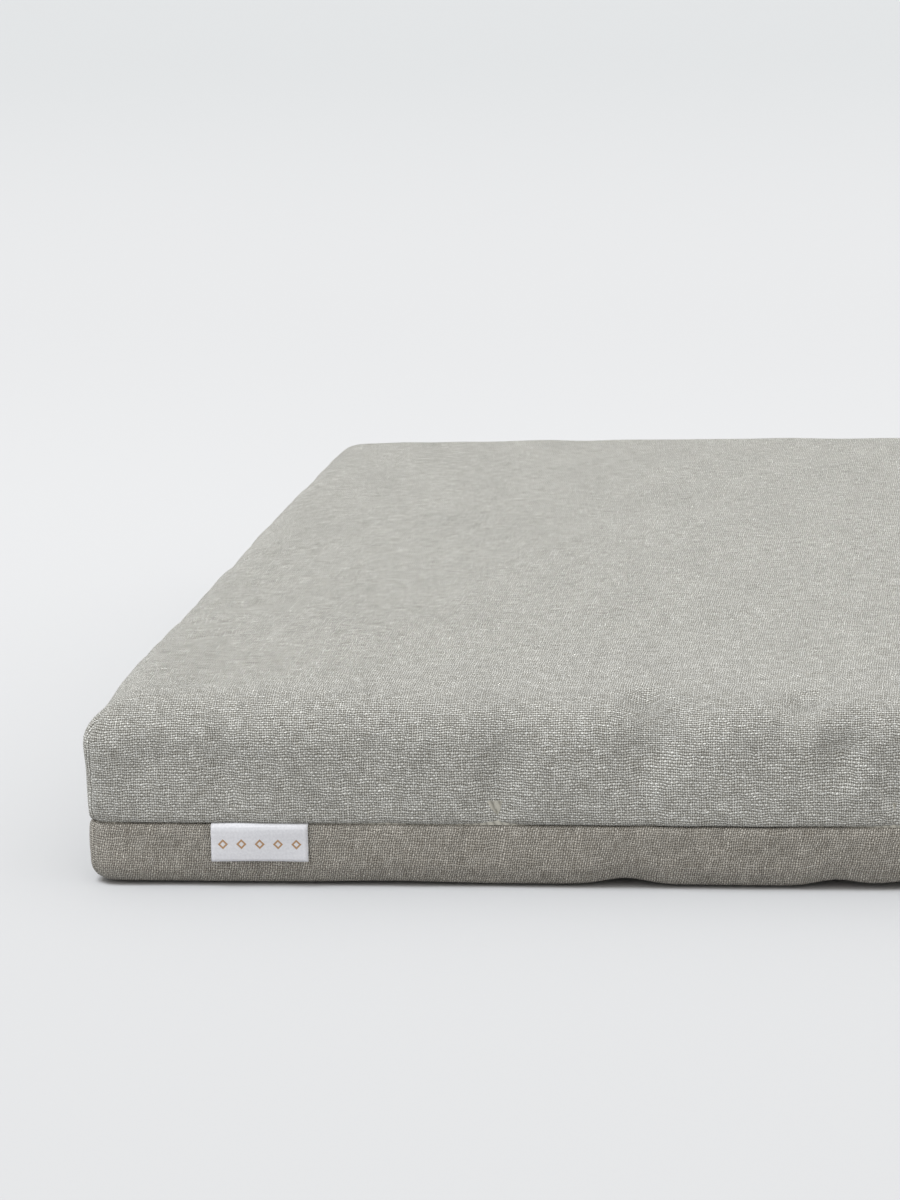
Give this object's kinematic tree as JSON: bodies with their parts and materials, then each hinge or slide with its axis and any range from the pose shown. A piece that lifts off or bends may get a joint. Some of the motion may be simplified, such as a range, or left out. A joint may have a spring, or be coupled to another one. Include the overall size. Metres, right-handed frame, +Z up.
{
  "type": "floor cushion",
  "caption": "Flat square-cornered floor cushion: a zipped linen-look cover of two boxed caps over a lined pad of wadding and foam.",
  "frame": {"origin": "on the floor under the middle of the cushion", "axes": "+Z up, +X along the front edge to the right, +Y from the front to the back, where the zip is"},
  "size_m": [0.76, 0.7637, 0.1014],
  "materials": {
    "linen_weave": "matte",
    "linen_weave_turned": "matte",
    "overlock_thread": "matte",
    "cotton_thread": "matte",
    "label_satin": "satin",
    "zip_tape": "matte",
    "zip_nylon": "matte",
    "zip_nickel": "satin",
    "liner_cotton": "matte",
    "wadding": "matte",
    "foam": "matte"
  },
  "bodies": {
    "cushion": {"cover_top": "linen_weave", "cover_base": "linen_weave_turned", "seam_overlock": "overlock_thread", "liner_seam": "cotton_thread", "woven_label": "label_satin", "care_label": "label_satin", "zip_tape_upper": "zip_tape", "zip_tape_lower": "zip_tape", "zip_coil_upper": "zip_nylon", "zip_coil_lower": "zip_nylon", "zip_top_stop_upper": "zip_nickel", "zip_top_stop_lower": "zip_nickel", "zip_bottom_stop": "zip_nickel", "liner_top": "liner_cotton", "liner_base": "liner_cotton", "fibre_top": "wadding", "fibre_base": "wadding", "foam_core": "foam", "corner_seam_base_back_right": "overlock_thread", "corner_seam_top_back_right": "overlock_thread", "corner_seam_base_back_left": "overlock_thread", "corner_seam_top_back_left": "overlock_thread", "corner_seam_base_front_left": "overlock_thread", "corner_seam_top_front_left": "overlock_thread", "corner_seam_base_front_right": "overlock_thread", "corner_seam_top_front_right": "overlock_thread"},
    "slider": {"zip_slider": "zip_nickel"},
    "pull": {"zip_pull": "zip_nickel"}
  },
  "joints": [
    {"name": "slider_run", "type": "slide", "parent": "cushion", "child": "slider", "axis": [-1, 0, 0], "range_m": [0, 0.542]},
    {"name": "pull_swing", "type": "hinge", "parent": "slider", "child": "pull", "pos_m": [0.271, 0.381, 0.031], "axis": [0, 0, -1], "range_deg": [0, 180]}
  ]
}
